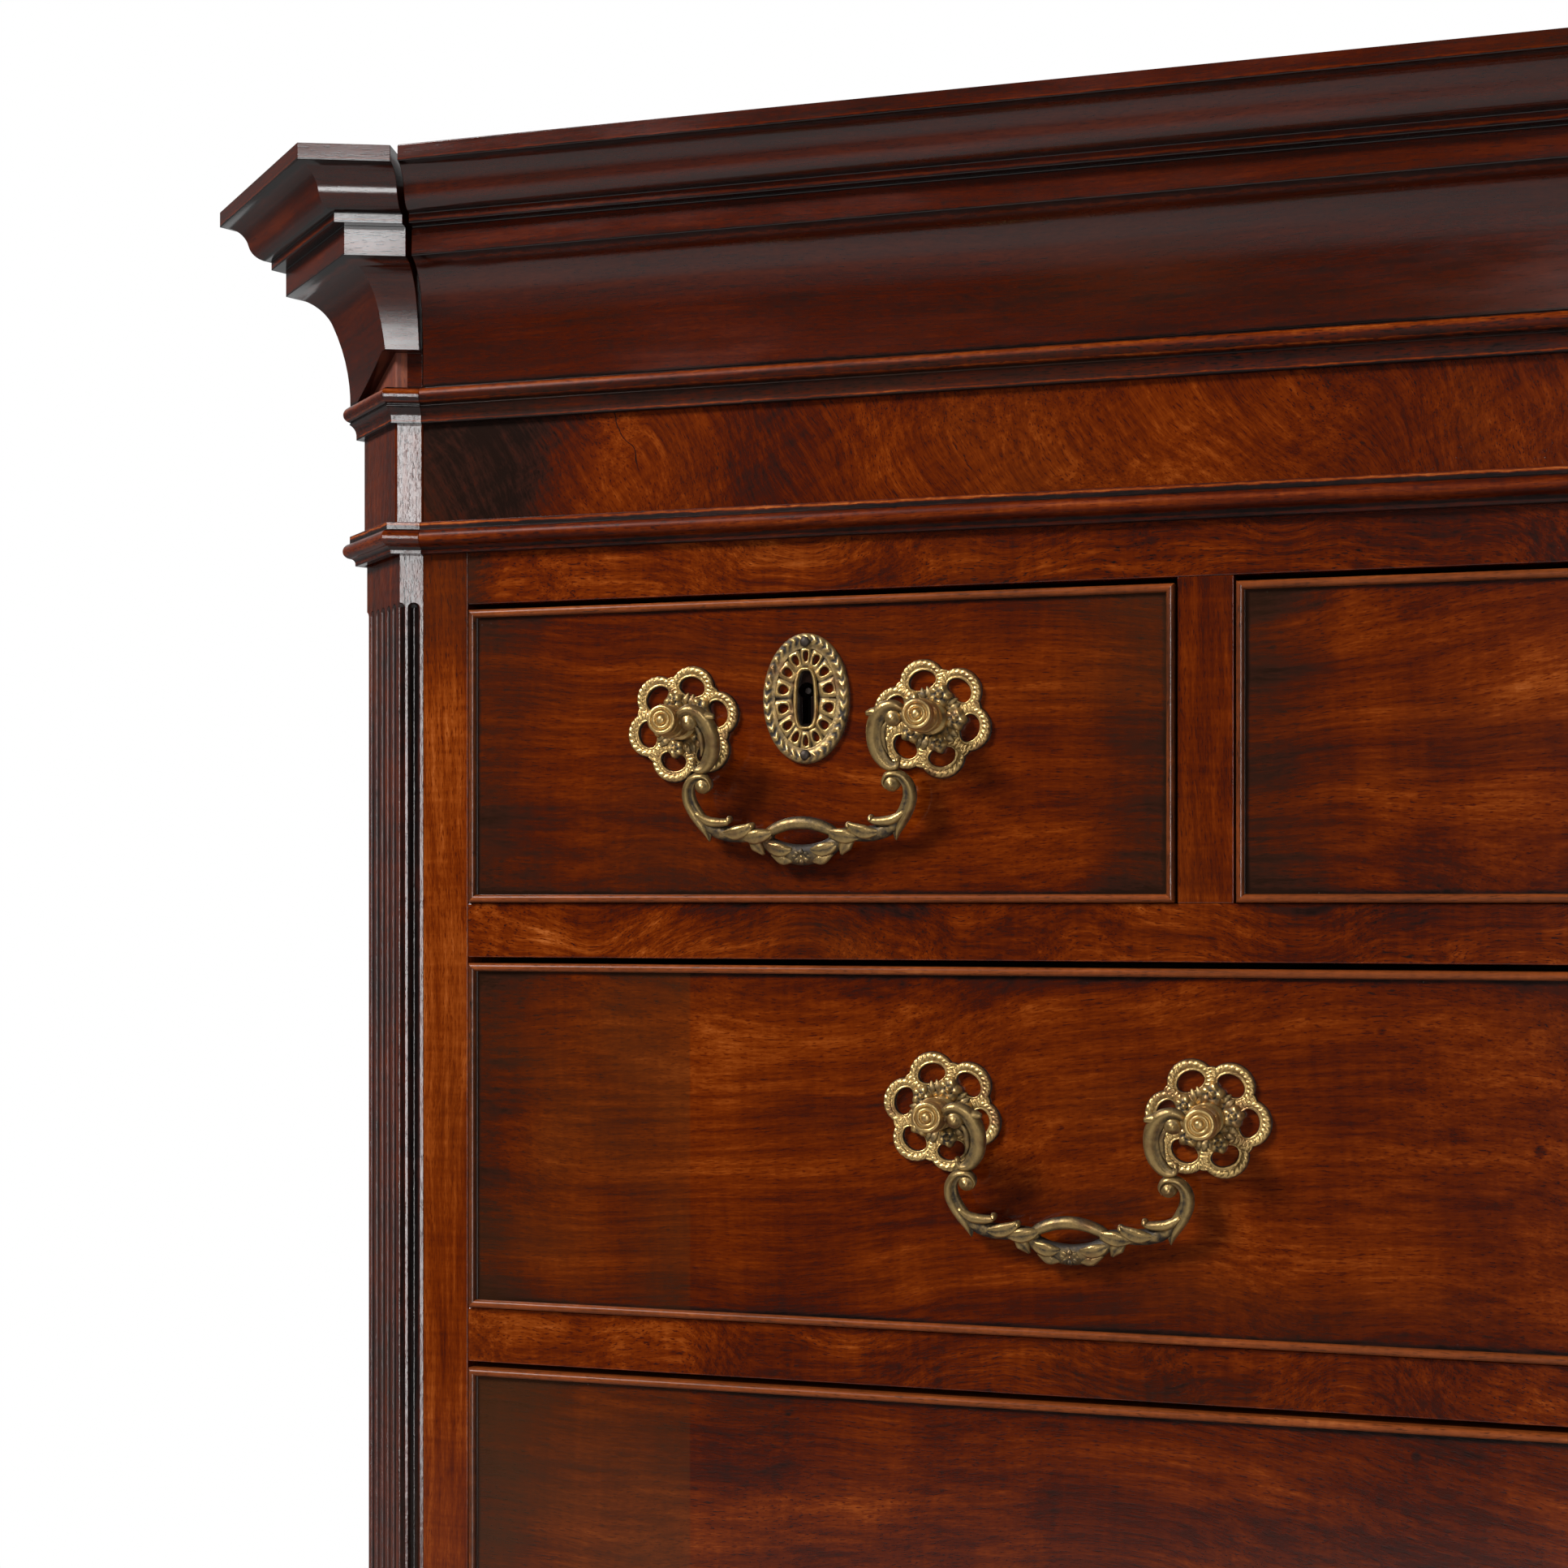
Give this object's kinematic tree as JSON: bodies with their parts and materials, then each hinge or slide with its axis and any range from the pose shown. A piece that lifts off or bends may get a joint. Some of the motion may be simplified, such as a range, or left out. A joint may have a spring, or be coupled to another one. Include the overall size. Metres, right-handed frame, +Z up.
{
  "type": "chest on chest",
  "caption": "Tall two-part chest of drawers with fluted canted corners, a coved cornice, cockbeaded drawers on runners, swinging brass bail handles, a waist moulding and bracket feet.",
  "frame": {"origin": "on the floor, in the middle of the object's bounding box seen from above", "axes": "+Z up, +X to the right as seen from the front, -Y out of the drawer fronts"},
  "size_m": [1.2568, 0.556, 1.8942],
  "materials": {
    "drawer_veneer": "french polished figured mahogany, grain across, darker towards the edges",
    "frieze_veneer": "french polished flame mahogany",
    "rail_wood": "waxed and polished mahogany with open dark pores",
    "post_wood": "polished mahogany, grime in the flutes",
    "moulding_wood": "polished mahogany",
    "cornice_wood": "polished dark mahogany",
    "carcase_wood": "polished mahogany, grain upright on the sides",
    "secondary_wood": "unpolished oak and pine, darkened with age",
    "brass": "cast and chased brass, aged to olive gold with dark recesses"
  },
  "bodies": {
    "case": {"upper_sides": "carcase_wood", "upper_top_and_bottom": "carcase_wood", "upper_face_frame": "rail_wood", "fluted_post_left": "post_wood", "fluted_post_right": "post_wood", "frieze": "frieze_veneer", "frieze_mouldings": "moulding_wood", "cornice_front": "cornice_wood", "cornice_left": "cornice_wood", "cornice_right": "cornice_wood", "lower_sides": "carcase_wood", "lower_top_and_bottom": "carcase_wood", "lower_face_frame": "rail_wood", "waist_moulding": "moulding_wood", "base_moulding": "moulding_wood", "bracket_feet": "post_wood", "back_boards": "secondary_wood", "drawer_runners": "secondary_wood"},
    "short_left": {"short_left_front": "drawer_veneer", "short_left_box": "secondary_wood", "short_left_brass": "brass"},
    "short_left_bail": {"short_left_bail": "brass"},
    "short_centre": {"short_centre_front": "drawer_veneer", "short_centre_box": "secondary_wood", "short_centre_brass": "brass"},
    "short_centre_bail": {"short_centre_bail": "brass"},
    "short_right": {"short_right_front": "drawer_veneer", "short_right_box": "secondary_wood", "short_right_brass": "brass"},
    "short_right_bail": {"short_right_bail": "brass"},
    "upper_long_1": {"upper_long_1_front": "drawer_veneer", "upper_long_1_box": "secondary_wood", "upper_long_1_brass": "brass"},
    "upper_long_1_bail_left": {"upper_long_1_bail_left": "brass"},
    "upper_long_1_bail_right": {"upper_long_1_bail_right": "brass"},
    "upper_long_2": {"upper_long_2_front": "drawer_veneer", "upper_long_2_box": "secondary_wood", "upper_long_2_brass": "brass"},
    "upper_long_2_bail_left": {"upper_long_2_bail_left": "brass"},
    "upper_long_2_bail_right": {"upper_long_2_bail_right": "brass"},
    "upper_long_3": {"upper_long_3_front": "drawer_veneer", "upper_long_3_box": "secondary_wood", "upper_long_3_brass": "brass"},
    "upper_long_3_bail_left": {"upper_long_3_bail_left": "brass"},
    "upper_long_3_bail_right": {"upper_long_3_bail_right": "brass"},
    "lower_long_1": {"lower_long_1_front": "drawer_veneer", "lower_long_1_box": "secondary_wood", "lower_long_1_brass": "brass"},
    "lower_long_1_bail_left": {"lower_long_1_bail_left": "brass"},
    "lower_long_1_bail_right": {"lower_long_1_bail_right": "brass"},
    "lower_long_2": {"lower_long_2_front": "drawer_veneer", "lower_long_2_box": "secondary_wood", "lower_long_2_brass": "brass"},
    "lower_long_2_bail_left": {"lower_long_2_bail_left": "brass"},
    "lower_long_2_bail_right": {"lower_long_2_bail_right": "brass"},
    "lower_long_3": {"lower_long_3_front": "drawer_veneer", "lower_long_3_box": "secondary_wood", "lower_long_3_brass": "brass"},
    "lower_long_3_bail_left": {"lower_long_3_bail_left": "brass"},
    "lower_long_3_bail_right": {"lower_long_3_bail_right": "brass"}
  },
  "joints": [
    {"name": "short_left_slide", "type": "slide", "parent": "case", "child": "short_left", "axis": [0, -1, 0], "range_m": [0, 0.36]},
    {"name": "short_left_bail_hinge", "type": "hinge", "parent": "short_left", "child": "short_left_bail", "pos_m": [-0.364, -0.23445, 1.67], "axis": [-1, 0, 0], "range_deg": [0, 90]},
    {"name": "short_centre_slide", "type": "slide", "parent": "case", "child": "short_centre", "axis": [0, -1, 0], "range_m": [0, 0.36]},
    {"name": "short_centre_bail_hinge", "type": "hinge", "parent": "short_centre", "child": "short_centre_bail", "pos_m": [0, -0.23445, 1.67], "axis": [-1, 0, 0], "range_deg": [0, 90]},
    {"name": "short_right_slide", "type": "slide", "parent": "case", "child": "short_right", "axis": [0, -1, 0], "range_m": [0, 0.36]},
    {"name": "short_right_bail_hinge", "type": "hinge", "parent": "short_right", "child": "short_right_bail", "pos_m": [0.364, -0.23445, 1.67], "axis": [-1, 0, 0], "range_deg": [0, 90]},
    {"name": "upper_long_1_slide", "type": "slide", "parent": "case", "child": "upper_long_1", "axis": [0, -1, 0], "range_m": [0, 0.36]},
    {"name": "upper_long_1_bail_left_hinge", "type": "hinge", "parent": "upper_long_1", "child": "upper_long_1_bail_left", "pos_m": [-0.25908, -0.23445, 1.519], "axis": [-1, 0, 0], "range_deg": [0, 90]},
    {"name": "upper_long_1_bail_right_hinge", "type": "hinge", "parent": "upper_long_1", "child": "upper_long_1_bail_right", "pos_m": [0.25908, -0.23445, 1.519], "axis": [-1, 0, 0], "range_deg": [0, 90]},
    {"name": "upper_long_2_slide", "type": "slide", "parent": "case", "child": "upper_long_2", "axis": [0, -1, 0], "range_m": [0, 0.36]},
    {"name": "upper_long_2_bail_left_hinge", "type": "hinge", "parent": "upper_long_2", "child": "upper_long_2_bail_left", "pos_m": [-0.25908, -0.23445, 1.3195], "axis": [-1, 0, 0], "range_deg": [0, 90]},
    {"name": "upper_long_2_bail_right_hinge", "type": "hinge", "parent": "upper_long_2", "child": "upper_long_2_bail_right", "pos_m": [0.25908, -0.23445, 1.3195], "axis": [-1, 0, 0], "range_deg": [0, 90]},
    {"name": "upper_long_3_slide", "type": "slide", "parent": "case", "child": "upper_long_3", "axis": [0, -1, 0], "range_m": [0, 0.36]},
    {"name": "upper_long_3_bail_left_hinge", "type": "hinge", "parent": "upper_long_3", "child": "upper_long_3_bail_left", "pos_m": [-0.25908, -0.23445, 1.0755], "axis": [-1, 0, 0], "range_deg": [0, 90]},
    {"name": "upper_long_3_bail_right_hinge", "type": "hinge", "parent": "upper_long_3", "child": "upper_long_3_bail_right", "pos_m": [0.25908, -0.23445, 1.0755], "axis": [-1, 0, 0], "range_deg": [0, 90]},
    {"name": "lower_long_1_slide", "type": "slide", "parent": "case", "child": "lower_long_1", "axis": [0, -1, 0], "range_m": [0, 0.36]},
    {"name": "lower_long_1_bail_left_hinge", "type": "hinge", "parent": "lower_long_1", "child": "lower_long_1_bail_left", "pos_m": [-0.28575, -0.25445, 0.8035], "axis": [-1, 0, 0], "range_deg": [0, 90]},
    {"name": "lower_long_1_bail_right_hinge", "type": "hinge", "parent": "lower_long_1", "child": "lower_long_1_bail_right", "pos_m": [0.28575, -0.25445, 0.8035], "axis": [-1, 0, 0], "range_deg": [0, 90]},
    {"name": "lower_long_2_slide", "type": "slide", "parent": "case", "child": "lower_long_2", "axis": [0, -1, 0], "range_m": [0, 0.36]},
    {"name": "lower_long_2_bail_left_hinge", "type": "hinge", "parent": "lower_long_2", "child": "lower_long_2_bail_left", "pos_m": [-0.28575, -0.25445, 0.5705], "axis": [-1, 0, 0], "range_deg": [0, 90]},
    {"name": "lower_long_2_bail_right_hinge", "type": "hinge", "parent": "lower_long_2", "child": "lower_long_2_bail_right", "pos_m": [0.28575, -0.25445, 0.5705], "axis": [-1, 0, 0], "range_deg": [0, 90]},
    {"name": "lower_long_3_slide", "type": "slide", "parent": "case", "child": "lower_long_3", "axis": [0, -1, 0], "range_m": [0, 0.36]},
    {"name": "lower_long_3_bail_left_hinge", "type": "hinge", "parent": "lower_long_3", "child": "lower_long_3_bail_left", "pos_m": [-0.28575, -0.25445, 0.3145], "axis": [-1, 0, 0], "range_deg": [0, 90]},
    {"name": "lower_long_3_bail_right_hinge", "type": "hinge", "parent": "lower_long_3", "child": "lower_long_3_bail_right", "pos_m": [0.28575, -0.25445, 0.3145], "axis": [-1, 0, 0], "range_deg": [0, 90]}
  ]
}
